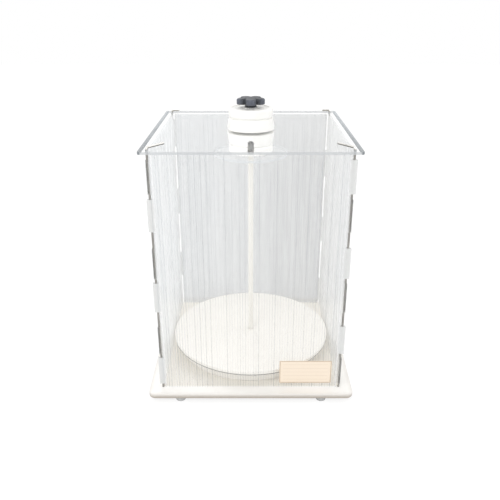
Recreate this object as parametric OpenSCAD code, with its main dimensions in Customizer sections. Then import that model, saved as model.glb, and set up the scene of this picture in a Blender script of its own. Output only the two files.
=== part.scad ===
// Clear carrier for a tall tiered cake. A square white board on rubber feet
// holds a centre rod. Four fluted twin-wall panels stand on the board and knit
// together at the corners, where a steel rod runs down through their tabs.
// A clear lid lies on the panels. Spools and a star knob on the centre rod
// press a clear disk down on the cake.
// The origin is on the floor under the middle of the board, in millimetres:
// X points right, Y to the back and Z up. The label is on the front panel.

/* [Base board] */
// Width and depth of the square base board
base_w = 475; // [466:1:520]
// Thickness of the base board
base_t = 12.7; // [11:0.1:20]
// Radius of the board's corners in plan
base_corner_r = 16; // [6:1:20]
// Radius that rounds the board's edges
base_edge_r = 3; // [1:0.5:4]

/* [Feet] */
// Height of a foot
foot_h = 12; // [9:0.5:20]
// Diameter of a foot where it meets the board
foot_d = 27; // [24:0.5:30]
// How much narrower a foot is at the floor
foot_taper = 5; // [0:0.5:6]
// Chamfer round the bottom of a foot
foot_chamfer = 1.2; // [0.5:0.1:2]
// Distance from the board's left and right edges to the middle of a foot
foot_side_inset = 73; // [66:0.5:90]
// Distance from the board's front and back edges to the middle of a foot
foot_edge_inset = 17; // [16:0.5:26]
// Height of the straight band at the top of a foot
foot_band = 1; // [0.5:0.5:2]
// Diameter of a foot screw's shank
screw_d = 4; // [3:0.5:5]
// Diameter of a foot screw's countersunk head
screw_head_d = 8.5; // [7:0.5:11]
// Height of the countersunk part of the head
screw_head_h = 2.6; // [2:0.1:3.5]
// Length of each bar of the head's cross recess
cross_l = 4.6; // [3:0.2:5]
// Width of each bar of the cross recess
cross_w = 1; // [0.6:0.1:1.4]
// Depth of the cross recess
cross_depth = 1.5; // [0.8:0.1:1.8]
// How far the head of a foot screw lies above the floor
screw_sink = 4; // [2:0.5:5]
// Board left above the tip of a foot screw
screw_skin = 4; // [2:0.5:5]

/* [Wall panels] */
// Distance from the board's edges to the corner rods' axes
rod_inset = 31; // [26:0.5:37]
// Height of the wall panels
panel_h = 560; // [550:1:640]
// Thickness of the fluted sheet
sheet_t = 6; // [5.8:0.1:8]
// Thickness of each outer skin of the sheet
skin_t = 0.5; // [0.3:0.05:0.5]
// Thickness of each rib between the skins
rib_t = 0.4; // [0.3:0.05:0.5]
// Spacing of the ribs that the flute count is rounded to
flute_pitch = 6; // [5.8:0.1:8]

/* [Corner tabs] */
// Height of one tab
tab_h = 71.5; // [50:0.5:80]
// Height of the panel above the highest tab
tab_top_gap = 13.5; // [5:0.5:30]
// Number of tabs on an edge
tab_count = 3; // [2:1:3]
// Height of the lowest tab on a panel's left edge, above its bottom
left_tab_z = 9; // [2:0.5:12]
// Height of the lowest tab on a panel's right edge, above its bottom
right_tab_z = 92; // [90:0.5:96]
// How far a tab reaches past the rod's axis
tab_reach = 7; // [5:0.5:9]
// How far a notch is cut back inside the rod's axis
notch_in = 6; // [5:0.5:9]

/* [Corner rods] */
// Diameter of a corner rod
rod_d = 4.8; // [3:0.1:4.8]
// Depth of the blind hole in the board for a rod
rod_seat = 8; // [5:0.5:9]
// Radius of the bend at a rod's top, on its centreline
bend_r = 5; // [4:0.5:10]
// How much a rod swells in its bend, on the radius
bend_swell = 0.06; // [0.04:0.01:0.1]
// How far the straight stretches of a rod reach into its bend
bend_lap = 0.5; // [0.3:0.1:0.6]
// Length of the front rods' straight arm after the bend
front_arm_l = 43; // [25:1:60]
// Length of the back rods' straight arm after the bend
back_arm_l = 14; // [8:1:60]
// Direction of the front arms, in degrees from the lid's front edge
front_arm_turn = 52; // [20:1:80]
// Direction of the back arms, in degrees from the lid's back edge
back_arm_turn = 4; // [0:1:80]
// Chamfer at both tips of a rod
tip_chamfer = 0.8; // [0.3:0.1:1]

/* [Lid] */
// How far the lid reaches past the corner rods' axes
lid_rim = 17; // [12:0.5:22]
// Thickness of the lid
lid_t = 6; // [4:0.5:10]
// Radius of the lid's corners in plan
lid_corner_r = 6; // [3:0.5:9]
// Radius that rounds the lid's edges
lid_edge_r = 0.8; // [0.3:0.1:1.2]
// Clearance round a corner rod in its lid hole, on the diameter
lid_rod_play = 1; // [0.6:0.1:3]
// Clearance round the centre rod in its lid hole, on the diameter
lid_centre_play = 1.6; // [0.6:0.1:4]

/* [Centre rod] */
// Diameter of the centre rod
centre_d = 12.7; // [12:0.1:16]
// Diameter of the thread at both ends of the centre rod
thread_d = 10; // [8:0.5:10.5]
// Length of the thread at the rod's top
thread_l = 30; // [24:1:40]
// How far the thread stops short of the bush's and the insert's far ends
thread_end_gap = 1; // [0.5:0.5:3]
// Diameter of the bush in the board that holds the rod
bush_d = 18; // [16:0.5:24]
// Diameter of the bush's flange under the board
bush_flange_d = 34; // [28:1:45]
// Thickness of the bush's flange
bush_flange_t = 2.5; // [1.5:0.1:3.5]

/* [Cake board] */
// Gap between the round cake board and the walls
cake_board_gap = 3.5; // [2:0.5:20]
// Thickness of the cake board
cake_board_t = 10; // [6:0.5:14]
// Height of the riser that carries the cake board
riser_h = 25; // [10:0.5:35]
// How far the riser's side lies inside the cake board's edge
riser_inset = 15; // [5:0.5:40]

/* [Disk and spools] */
// Diameter of the clear disk that presses on the cake
disk_d = 172; // [130:1:200]
// Thickness of the disk
disk_t = 6; // [4:0.5:8]
// Radius that rounds the disk's edge
disk_edge_r = 0.8; // [0.3:0.1:1.5]
// Total height of a spool
spool_h = 47.5; // [44:0.5:56]
// Radius of a spool's barrel beside the groove
spool_r = 50.5; // [44:0.5:56]
// How much wider the barrel is at its open end
spool_bulge = 3.4; // [0.5:0.1:5]
// Radius of the flange at the closed end of a spool
flange_r = 51; // [47:0.5:58]
// Height of that flange
flange_h = 19; // [14:0.5:22]
// Radius that rounds the flange's edges
flange_round = 3; // [1:0.5:5]
// Height of the groove between flange and barrel
groove_h = 3; // [2:0.5:5]
// Depth of that groove
groove_depth = 2.5; // [1:0.5:3]
// Thickness of a spool's shell
spool_wall = 3; // [2:0.25:4]
// Thickness of the ring round a spool's open end
end_ring_t = 3; // [2:0.25:4]
// Radius of the opening in that ring
end_ring_r = 18; // [16:0.5:26]
// Thickness of a spool's closed end
spool_top_t = 4; // [3:0.25:6]
// Depth of the shallow ring in a spool's closed end
top_recess = 1.2; // [0.5:0.1:2]
// Width of the plain land round the hub on that end
hub_land = 5; // [3:0.5:8]
// Width of the plain land at the rim of that end
rim_land = 9; // [6:0.5:12]
// How far the ribs in the shallow ring lie below the lands
top_rib_drop = 0.4; // [0.2:0.1:0.4]
// Number of ribs on each side of a spool's closed end
rib_count = 8; // [8:4:16]
// Thickness of those ribs
spool_rib_t = 2; // [1.5:0.25:3]
// Radius of the hub round the centre rod
hub_r = 12; // [10.5:0.5:16]
// How far the hub and the ribs reach into a spool
hub_drop = 16; // [8:1:24]
// Width of the arched slot in a spool's wall
slot_w = 14; // [8:0.5:18]
// Distance from a spool's open end to the slot's arch
slot_rise = 11; // [6:0.5:16]
// Wall left between the slot and the spool's closed end
slot_margin = 5; // [4:0.5:8]

/* [Knob] */
// Radius of the star knob over its lobes
knob_r = 33; // [28:0.5:40]
// Number of lobes
lobe_count = 5; // [4:1:6]
// Radius of each lobe
lobe_r = 11.5; // [9:0.5:13]
// Radius of the knob's round middle
knob_core_r = 22; // [19:0.5:24]
// Height of the lobes
lobe_h = 14; // [12:0.5:20]
// Radius that rounds the lobes' top and bottom edges
lobe_round = 3.5; // [1:0.5:5]
// Radius of the boss under the knob
boss_r = 13; // [11:0.5:16]
// Height of the boss under the knob
boss_h = 6; // [3:0.5:8]
// Diameter of the threaded insert in the knob
insert_d = 15; // [13:0.5:18]
// Length of that insert
insert_l = 12.5; // [9:0.5:13]
// Radius of the washer under the knob
washer_r = 14; // [12:0.5:18]
// Thickness of the washer
washer_t = 1.2; // [0.8:0.1:2.5]

/* [Label] */
// Width of the blank label
label_w = 121; // [60:1:140]
// Height of the blank label
label_h = 61; // [30:1:70]
// Thickness of the label
label_t = 0.3; // [0.2:0.05:0.6]
// Radius of the label's corners
label_corner_r = 3; // [1:0.5:6]
// Distance from the right corner rod's axis to the label
label_gap = 19; // [10:0.5:60]
// Height of the label's lower edge above the panel's bottom
label_rise = 11.5; // [5:0.5:60]

/* [Clearances] */
// Gap between a piece and the face that it rests on
seat_gap = 0.3; // [0.1:0.05:0.5]
// Clearance of a screw or insert in its hole, on the diameter
fit_play = 0.1; // [0.05:0.05:0.3]
// Clearance of a running fit on a rod, on the diameter
run_play = 0.2; // [0.1:0.05:0.2]
// Clearance of a loose hole round a rod, on the diameter
loose_play = 0.8; // [0.5:0.1:2]

/* [Hidden] */
$fn = 96;
eps = 0.01;
over = 1;
rod_gap = base_w - 2 * rod_inset;
foot_x = base_w / 2 - foot_side_inset;
foot_y = base_w / 2 - foot_edge_inset;
screw_tip_z = foot_h + base_t - screw_skin;
lid_w = rod_gap + 2 * lid_rim;
cake_board_d = rod_gap - sheet_t - 2 * cake_board_gap;
tab_pitch = (panel_h - right_tab_z - tab_h - tab_top_gap) / (tab_count - 1);
label_x = rod_gap / 2 - label_gap - label_w / 2;
label_z = label_rise + label_h / 2;
base_top = foot_h + base_t;
panel_z = base_top + seat_gap;
lid_z = panel_z + panel_h + seat_gap;
lid_top = lid_z + lid_t;
rod_xy = rod_gap / 2;
riser_z = base_top + seat_gap;
cake_board_z = riser_z + riser_h;
lower_spool_z = lid_z - seat_gap - spool_h;
disk_z = lower_spool_z - disk_t;
upper_spool_z = lid_top + seat_gap;
washer_z = upper_spool_z + spool_h + seat_gap;
knob_z = washer_z + washer_t + seat_gap;
lobe_z = knob_z + boss_h;
insert_top = knob_z + insert_l;
centre_top = insert_top - thread_end_gap;
shoulder_z = centre_top - thread_l;
flute_count = round(rod_gap / flute_pitch);
flute_step = rod_gap / flute_count;
arm_r = rod_d / 2;
rod_tip_z = base_top - rod_seat + seat_gap;
groove_z = spool_h - flange_h - groove_h;
recess_in = hub_r + hub_land;
recess_out = flange_r - rim_land;
// The rods stand at these corners, front left first and then anticlockwise,
// each with the direction and the length of its arm
corners = [[-1, -1], [1, -1], [1, 1], [-1, 1]];
arm_turns = [front_arm_turn, 180 - front_arm_turn,
    180 + back_arm_turn, -back_arm_turn];
arm_lengths = [front_arm_l, front_arm_l, back_arm_l, back_arm_l];

// --- Shared shapes ---

// Places its children at corner i of a rectangle with half sides x and y
module at_corner(i, x, y) {
    translate([corners[i][0] * x, corners[i][1] * y, 0])
        children();
}

// Half section of a plate's edge, rounded by radius e: from x = 0 to x = r
module plate_edge(r, t, e) {
    square([r - e, t]);
    translate([0, e])
        square([r, t - 2 * e]);
    for (z = [e, t - e])
        translate([r - e, z])
            circle(r = e, $fn = 32);
}

// Square plate of side w and thickness t with corner radius r in plan, and
// its edges rounded by radius e
module square_plate(w, t, r, e) {
    side = w - 2 * r;
    translate([-side / 2, -side / 2, 0])
        cube([side, side, t]);
    for (i = [0 : 3]) {
        rotate([0, 0, 90 * i]) {
            translate([side / 2, side / 2, 0])
                rotate_extrude(angle = 90)
                    plate_edge(r, t, e);
            translate([side / 2, side / 2, 0])
                rotate([90, 0, 0])
                    linear_extrude(side)
                        plate_edge(r, t, e);
        }
    }
}

// Rectangle of size w by h with rounded corners
module rounded_rectangle(w, h, r) {
    square([w - 2 * r, h], center = true);
    square([w, h - 2 * r], center = true);
    for (x = [-1, 1], y = [-1, 1])
        translate([x * (w / 2 - r), y * (h / 2 - r)])
            circle(r = r, $fn = 48);
}

// Cylinder with both ends chamfered by c
module chamfered_rod(d, l, c) {
    rotate_extrude()
        polygon([[0, 0], [d / 2 - c, 0], [d / 2, c], [d / 2, l - c],
            [d / 2 - c, l], [0, l]]);
}

// --- Base ---

module base_board() {
    color("#f5f3ef")
        difference() {
            translate([0, 0, foot_h])
                square_plate(base_w, base_t, base_corner_r, base_edge_r);
            for (i = [0 : 3]) {
                at_corner(i, rod_xy, rod_xy)
                    translate([0, 0, base_top - rod_seat])
                        cylinder(d = rod_d + loose_play, h = rod_seat + over);
                at_corner(i, foot_x, foot_y)
                    translate([0, 0, foot_h - over])
                        cylinder(d = screw_d + fit_play,
                            h = screw_tip_z - foot_h + over);
            }
            bush_hole();
        }
}

// Stepped hole for the bush, open below
module bush_hole() {
    translate([0, 0, foot_h - over])
        cylinder(d = bush_d + fit_play, h = base_t + 2 * over);
    translate([0, 0, foot_h - over])
        cylinder(d = bush_flange_d + fit_play, h = bush_flange_t + over);
}

// Countersunk hole for one foot screw, open at the floor
module screw_hole() {
    wide = screw_head_d + loose_play;
    narrow = screw_d + fit_play;
    translate([0, 0, -over])
        cylinder(d = narrow, h = foot_h + 2 * over);
    translate([0, 0, -over])
        cylinder(d = wide, h = screw_sink + over + eps);
    translate([0, 0, screw_sink])
        cylinder(d1 = wide, d2 = narrow, h = screw_head_h);
}

module foot(i) {
    top_r = foot_d / 2;
    low_r = top_r - foot_taper / 2;
    color("#c9c9c7")
        at_corner(i, foot_x, foot_y)
            difference() {
                rotate_extrude()
                    polygon([[0, 0], [low_r - foot_chamfer, 0],
                        [low_r, foot_chamfer], [top_r, foot_h - foot_band],
                        [top_r, foot_h], [0, foot_h]]);
                screw_hole();
            }
}

module foot_front_left() foot(0);
module foot_front_right() foot(1);
module foot_back_right() foot(2);
module foot_back_left() foot(3);

module foot_screws() {
    color("#b9b6ae")
        for (i = [0 : 3])
            at_corner(i, foot_x, foot_y)
                foot_screw();
}

// Countersunk screw with a cross recess, driven up into the board
module foot_screw() {
    shank_l = screw_tip_z - screw_sink - screw_head_h - fit_play;
    difference() {
        translate([0, 0, screw_sink]) {
            cylinder(d1 = screw_head_d, d2 = screw_d, h = screw_head_h);
            translate([0, 0, screw_head_h - eps])
                cylinder(d = screw_d, h = shank_l + eps);
        }
        for (turn = [0, 90])
            rotate([0, 0, turn])
                translate([0, 0, screw_sink])
                    cube([cross_l, cross_w, 2 * cross_depth], center = true);
    }
}

// Flanged bush pressed into the board from below, threaded for the rod
module centre_bush() {
    color("#c3c4c6")
        translate([0, 0, foot_h])
            difference() {
                union() {
                    cylinder(d = bush_d, h = base_t);
                    cylinder(d = bush_flange_d, h = bush_flange_t);
                }
                translate([0, 0, -over])
                    cylinder(d = thread_d + fit_play, h = base_t + 2 * over);
            }
}

module centre_rod() {
    color("#eceae3") {
        translate([0, 0, base_top])
            cylinder(d = centre_d, h = shoulder_z - base_top);
        translate([0, 0, foot_h + thread_end_gap])
            cylinder(d = thread_d, h = base_t - thread_end_gap + eps);
        translate([0, 0, shoulder_z - eps])
            chamfered_rod(thread_d, thread_l + eps, tip_chamfer);
    }
}

// Round board on a smaller riser, both drilled for the centre rod
module cake_board() {
    riser_r = cake_board_d / 2 - riser_inset;
    color("#f1efe9")
        difference() {
            union() {
                translate([0, 0, riser_z])
                    cylinder(r = riser_r, h = riser_h + eps, $fn = 180);
                translate([0, 0, cake_board_z])
                    cylinder(d = cake_board_d, h = cake_board_t, $fn = 180);
            }
            translate([0, 0, riser_z - over])
                cylinder(d = centre_d + loose_play,
                    h = riser_h + cake_board_t + 2 * over);
        }
}

// --- Walls ---

// Cross section of the fluted sheet, with a flute round each rod's axis
module fluted_section() {
    length = rod_gap + 2 * tab_reach;
    difference() {
        square([length, sheet_t], center = true);
        for (i = [-1 : flute_count + 1])
            translate([i * flute_step - rod_xy, 0])
                square([flute_step - rib_t, sheet_t - 2 * skin_t],
                    center = true);
    }
}

// Removes an edge of a panel everywhere but at its tabs. The lowest tab
// starts at first_z, and side is -1 for the left edge and 1 for the right
module notches(side, first_z) {
    depth = tab_reach + notch_in + over;
    x = side * (rod_xy - notch_in + depth / 2);
    tops = [for (i = [0 : tab_count - 1]) first_z + i * tab_pitch + tab_h];
    lows = [for (i = [0 : tab_count - 1]) first_z + i * tab_pitch];
    starts = concat([-over], tops);
    ends = concat(lows, [panel_h + over]);
    for (i = [0 : tab_count])
        translate([x, 0, (starts[i] + ends[i]) / 2])
            cube([depth, sheet_t + 2 * over, ends[i] - starts[i]],
                center = true);
}

// One panel on the side that the number of quarter turns names: 0 is the
// front, 1 the right, 2 the back and 3 the left
module panel(turns) {
    color([0.88, 0.91, 0.93, 0.45])
        rotate([0, 0, 90 * turns])
            translate([0, -rod_xy, panel_z])
                difference() {
                    linear_extrude(panel_h)
                        fluted_section();
                    notches(-1, left_tab_z);
                    notches(1, right_tab_z);
                }
}

module panel_front() panel(0);
module panel_right() panel(1);
module panel_back() panel(2);
module panel_left() panel(3);

module label() {
    color("#f6e7d3")
        translate([label_x, -rod_xy - sheet_t / 2, panel_z + label_z])
            rotate([90, 0, 0])
                linear_extrude(label_t)
                    rounded_rectangle(label_w, label_h, label_corner_r);
}

// --- Lid and corner rods ---

module lid() {
    color([0.84, 0.88, 0.92, 0.4])
        difference() {
            translate([0, 0, lid_z])
                square_plate(lid_w, lid_t, lid_corner_r, lid_edge_r);
            translate([0, 0, lid_z - over]) {
                for (i = [0 : 3])
                    at_corner(i, rod_xy, rod_xy)
                        cylinder(d = rod_d + lid_rod_play,
                            h = lid_t + 2 * over);
                cylinder(d = centre_d + lid_centre_play,
                    h = lid_t + 2 * over);
            }
        }
}

// Rod whose top bends over just above the lid into a level arm
module corner_rod(i) {
    stem_l = lid_top - rod_tip_z;
    arm_l = arm_lengths[i];
    color("#6a6863")
        at_corner(i, rod_xy, rod_xy)
            rotate([0, 0, arm_turns[i]]) {
                translate([0, 0, rod_tip_z])
                    half_chamfered_rod(stem_l + bend_lap);
                translate([bend_r, 0, lid_top])
                    rotate([90, 0, 0])
                        rotate([0, 0, 90])
                            rotate_extrude(angle = 90)
                                translate([bend_r, 0])
                                    circle(r = arm_r + bend_swell);
                translate([bend_r + arm_l, 0, lid_top + bend_r])
                    rotate([0, -90, 0])
                        half_chamfered_rod(arm_l + bend_lap);
            }
}

// Straight stretch of a corner rod that starts at a chamfered tip
module half_chamfered_rod(l) {
    rotate_extrude()
        polygon([[0, 0], [arm_r - tip_chamfer, 0], [arm_r, tip_chamfer],
            [arm_r, l], [0, l]]);
}

module corner_rod_front_left() corner_rod(0);
module corner_rod_front_right() corner_rod(1);
module corner_rod_back_right() corner_rod(2);
module corner_rod_back_left() corner_rod(3);

// --- Press on the centre rod ---

module compression_disk() {
    color([0.86, 0.9, 0.93, 0.5])
        translate([0, 0, disk_z])
            difference() {
                rotate_extrude($fn = 180)
                    plate_edge(disk_d / 2, disk_t, disk_edge_r);
                translate([0, 0, -over])
                    cylinder(d = centre_d + run_play, h = disk_t + 2 * over);
            }
}

// Radius of the barrel's curved side at height z above its open end
function barrel_r(z) = spool_r + spool_bulge * cos(90 * z / groove_z);

// Outline of the barrel's side, moved inwards by inset
function barrel_side(inset) =
    [for (i = [0 : 16]) let (z = groove_z * i / 16) [barrel_r(z) - inset, z]];

// Half section of a spool's outside
module spool_outside() {
    polygon(concat([[0, 0]], barrel_side(0), [[0, groove_z]]));
    translate([0, groove_z - eps])
        square([spool_r - groove_depth, groove_h + 2 * eps]);
    translate([0, groove_z + groove_h])
        difference() {
            plate_edge(flange_r, flange_h, flange_round);
            translate([recess_in, flange_h - top_recess])
                square([recess_out - recess_in, top_recess + over]);
        }
}

// Half section of the hollow inside a spool, open below
module spool_inside() {
    inner_top = spool_h - spool_top_t;
    polygon(concat([[0, -over], [barrel_r(0) - spool_wall, -over]],
        barrel_side(spool_wall), [[0, groove_z]]));
    translate([0, groove_z - over])
        square([spool_r - groove_depth - spool_wall,
            inner_top - groove_z + over]);
}

// Ring inside the wall at a spool's open end
module end_ring() {
    difference() {
        cylinder(r = barrel_r(0) - spool_wall / 2, h = end_ring_t, $fn = 120);
        translate([0, 0, -over])
            cylinder(r = end_ring_r, h = end_ring_t + 2 * over);
    }
}

// Ribs between radii r1 and r2, from height z1 to z2
module radial_ribs(r1, r2, z1, z2) {
    for (i = [0 : rib_count - 1])
        rotate([0, 0, (i + 0.5) * 360 / rib_count])
            translate([r1, -spool_rib_t / 2, z1])
                cube([r2 - r1, spool_rib_t, z2 - z1]);
}

// Slot through the front wall of a spool, arched at the open end
module spool_slot() {
    arch_z = slot_rise + slot_w / 2;
    depth = max(flange_r, barrel_r(0)) + over - hub_r;
    translate([-slot_w / 2, -hub_r - depth, arch_z])
        cube([slot_w, depth - over, spool_h - slot_margin - arch_z]);
    translate([0, -hub_r - over, arch_z])
        rotate([90, 0, 0])
            cylinder(d = slot_w, h = depth - over);
}

// Hollow spool with its slot towards the front
module spool() {
    inner_top = spool_h - spool_top_t;
    color("#f7f6f1")
        difference() {
            union() {
                difference() {
                    rotate_extrude($fn = 120)
                        spool_outside();
                    rotate_extrude($fn = 120)
                        spool_inside();
                }
                end_ring();
                translate([0, 0, inner_top - hub_drop])
                    cylinder(r = hub_r, h = hub_drop + over);
                radial_ribs(hub_r - over, spool_r - groove_depth - over,
                    inner_top - hub_drop, inner_top + over);
                radial_ribs(recess_in - over, recess_out + over,
                    spool_h - spool_top_t / 2, spool_h - top_rib_drop);
            }
            translate([0, 0, -over])
                cylinder(d = centre_d + loose_play, h = spool_h + 2 * over);
            spool_slot();
        }
}

// The lower spool stands on its closed end
module lower_spool() {
    translate([0, 0, lower_spool_z + spool_h])
        rotate([0, 180, 0])
            spool();
}

// The upper spool has its slot towards the back
module upper_spool() {
    translate([0, 0, upper_spool_z])
        rotate([0, 0, 180])
            spool();
}

// --- Knob ---

module knob_washer() {
    color("#9b9c9e")
        translate([0, 0, washer_z])
            difference() {
                cylinder(r = washer_r, h = washer_t);
                translate([0, 0, -over])
                    cylinder(d = thread_d + loose_play,
                        h = washer_t + 2 * over);
            }
}

// Plan of the star: a round middle and its lobes, the first to the front
module star() {
    circle(r = knob_core_r);
    for (i = [0 : lobe_count - 1])
        rotate(i * 360 / lobe_count - 90)
            translate([knob_r - lobe_r, 0])
                circle(r = lobe_r, $fn = 64);
}

module knob() {
    color("#34373d")
        difference() {
            union() {
                translate([0, 0, knob_z])
                    cylinder(r = boss_r, h = boss_h + over);
                intersection() {
                    translate([0, 0, lobe_z])
                        linear_extrude(lobe_h)
                            star();
                    translate([0, 0, lobe_z])
                        rotate_extrude()
                            plate_edge(knob_r + eps, lobe_h, lobe_round);
                }
            }
            translate([0, 0, knob_z - over])
                cylinder(d = insert_d + fit_play,
                    h = insert_l + fit_play + over);
        }
}

module knob_insert() {
    color("#b89b5a")
        translate([0, 0, knob_z])
            difference() {
                cylinder(d = insert_d, h = insert_l);
                translate([0, 0, -over])
                    cylinder(d = thread_d + run_play,
                        h = insert_l + 2 * over);
            }
}

base_board();
foot_front_left();
foot_front_right();
foot_back_right();
foot_back_left();
foot_screws();
centre_bush();
centre_rod();
cake_board();
panel_front();
panel_right();
panel_back();
panel_left();
label();
lid();
corner_rod_front_left();
corner_rod_front_right();
corner_rod_back_right();
corner_rod_back_left();
compression_disk();
lower_spool();
upper_spool();
knob_washer();
knob();
knob_insert();
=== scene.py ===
"""Looks of a tall clear cake carrier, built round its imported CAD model.

Fluted walls, a clear lid and a clear disk stand on a white board, with white spools and a dark
star knob over them. Lengths are in metres, in the frame's own axes: Z up, the label to the front.
"""

import bmesh
import bpy
import numpy as np
from bpy.props import FloatProperty, FloatVectorProperty, IntProperty, PointerProperty
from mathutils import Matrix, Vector


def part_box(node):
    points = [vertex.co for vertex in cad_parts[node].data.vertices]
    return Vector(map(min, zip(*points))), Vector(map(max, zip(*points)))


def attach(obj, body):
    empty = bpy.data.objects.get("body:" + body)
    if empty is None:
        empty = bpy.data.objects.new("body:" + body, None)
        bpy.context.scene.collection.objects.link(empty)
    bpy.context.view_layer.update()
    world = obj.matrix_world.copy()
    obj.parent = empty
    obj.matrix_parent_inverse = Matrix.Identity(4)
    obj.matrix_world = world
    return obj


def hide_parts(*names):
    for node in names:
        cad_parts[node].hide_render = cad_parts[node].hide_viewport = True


bl_info = {
    "name": "Cake carrier",
    "version": (1, 0, 0),
    "blender": (4, 5, 0),
    "location": "3D View > Sidebar > Carrier",
    "description": "Dresses the CAD model of a clear cake carrier, and lights it",
    "category": "Object",
}

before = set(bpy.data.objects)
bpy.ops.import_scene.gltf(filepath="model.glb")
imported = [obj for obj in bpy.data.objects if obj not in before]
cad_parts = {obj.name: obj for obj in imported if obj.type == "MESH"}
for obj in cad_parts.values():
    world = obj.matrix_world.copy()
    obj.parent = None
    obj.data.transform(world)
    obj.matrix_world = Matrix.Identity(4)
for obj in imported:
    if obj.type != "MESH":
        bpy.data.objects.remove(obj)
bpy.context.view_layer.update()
MM = 0.001


def lowest(node):
    """Lowest corner of a CAD node's box."""
    return np.array(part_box(node)[0])


def highest(node):
    """Highest corner of a CAD node's box."""
    return np.array(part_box(node)[1])


def hole_r(node, centre=(0, 0)):
    """Radius of an upright hole: the least distance from its axis to the node's points."""
    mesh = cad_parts[node].data
    points = np.empty(len(mesh.vertices) * 3, np.float32)
    mesh.vertices.foreach_get("co", points)
    return float(np.hypot(points[0::3] - centre[0], points[1::3] - centre[1]).min())


BASE_TOP = highest("base_board")[2]
SHEET_T = highest("panel_front")[1] - lowest("panel_front")[1]
# The front sheet's middle plane holds the axes of the front rods
ROD_XY = -(highest("panel_front")[1] + lowest("panel_front")[1]) / 2
ROD_R = -lowest("corner_rod_front_left")[0] - ROD_XY
ROD_LOW = lowest("corner_rod_front_left")[2]
ARM_Z = highest("corner_rod_front_left")[2] - ROD_R
KNOB_LOW = lowest("knob")[2]
KNOB_TOP = highest("knob")[2]
KNOB_R = -lowest("knob")[1]
LABEL_LOW, LABEL_HIGH = lowest("label"), highest("label")
CORNERS = ("front_left", "front_right", "back_right", "back_left")
# Each panel's level axis, haze and tones at its two upright edges. The front sheet is the
# clearest in the photo, and the back one the milkiest
# The tones are painted shade and painted reflection of the room round each sheet
PANEL_LOOKS = {
    "front": ("X", 0.045, ("#fbfcfd", "#f3f4f5")),
    "right": ("Y", 0.12, ("#ebecec", "#e8e8e7")),
    "back": ("X", 0.2, ("#bec1c3", "#a3a4a4")),
    "left": ("Y", 0.12, ("#f7f9fa", "#f4f6f7")),
}
# Tone of the milky flutes round the rods, in every panel
MILKY_TONE = "#dedfde"
# Share of a clear piece's veil that light on its way to other pieces meets
VEIL_FOR_LIGHT = 0.26
# A wave texture's sine repeats every 2 pi / 20 units at scale 1
WAVE_UNIT = 2 * np.pi / 20


def linear(code):
    """Linear colour with full alpha, worked out from an sRGB hex value such as #f4f2ee."""
    shares = np.array([int(code[i : i + 2], 16) for i in (1, 3, 5)]) / 255
    curve = np.where(shares > 0.04045, ((shares + 0.055) / 1.055) ** 2.4, shares / 12.92)
    return (*curve.tolist(), 1.0)


def tint(label, text, code):
    """Colour property with its default given as an sRGB hex value."""
    return FloatVectorProperty(
        name=label,
        description=text,
        subtype="COLOR",
        size=4,
        min=0,
        max=1,
        default=linear(code),
    )


def size(label, text, millimetres):
    """Length property with its default given in millimetres."""
    return FloatProperty(
        name=label, description=text, unit="LENGTH", min=0, default=millimetres * MM
    )


class CarrierSizes(bpy.types.PropertyGroup):
    """Sizes of the shaped pieces."""

    lobes: IntProperty(name="Knob lobes", description="Lobes round the knob", default=5)
    lobe_r: size("Lobe radius", "Radius of a lobe's rounded end", 11.5)
    core_r: size("Knob core radius", "Radius of the knob between its lobes", 21)
    lobe_round: size("Lobe rounding", "Rounding of the lobes' upper edge", 4)
    crown: size("Knob crown", "Rise of the knob's top from its lobes to its cap", 0.8)
    cap_r: size("Cap radius", "Radius of the round cap in the knob's top", 11)
    boss_r: size("Boss radius", "Radius of the knob's boss over the washer", 13)
    boss_h: size("Boss height", "Height of the boss under the lobes", 6)
    bore_depth: size("Bore depth", "Depth of the hole that holds the insert", 12.6)
    thread_r: size("Thread radius", "Outer radius of the rod's threads", 5)
    thread_l: size("Thread length", "Length of the rod's upper thread", 30)
    thread_pitch: size("Thread pitch", "Rise of the rod's thread in one turn", 1.5)
    thread_depth: size("Thread depth", "Depth of the rod's thread", 0.9)
    bend_r: size("Rod bend radius", "Radius of a corner rod's bend, at its axis", 5)
    front_arm: size("Front arm length", "Length of a front rod's arm past its bend", 43)
    back_arm: size("Back arm length", "Length of a back rod's arm past its bend", 14)
    front_turn: FloatProperty(
        name="Front arm direction",
        description="Turn of the front left rod's arm from the lid's front edge",
        subtype="ANGLE",
        default=np.radians(52),
    )
    back_turn: FloatProperty(
        name="Back arm direction",
        description="Turn of the back left rod's arm from the lid's back edge",
        subtype="ANGLE",
        default=np.radians(4),
    )
    plate_round: size("Plate rounding", "Rounding of the disk's and the board's edges", 0.8)
    board_t: size("Board thickness", "Thickness of the cake board over its riser", 10)
    riser_in: size("Riser inset", "From the cake board's edge in to its riser's side", 15)
    foot_in: size("Foot taper", "From a foot's upper radius in to its lower one", 2.5)
    head_r: size("Screw head hole", "Radius of the hole round a foot screw's head", 4.65)
    head_h: size("Screw head height", "Height of the countersink in a foot", 2.6)
    flute: size("Flute step", "Distance between the ribs of the fluted sheet", 413 / 69)


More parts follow.
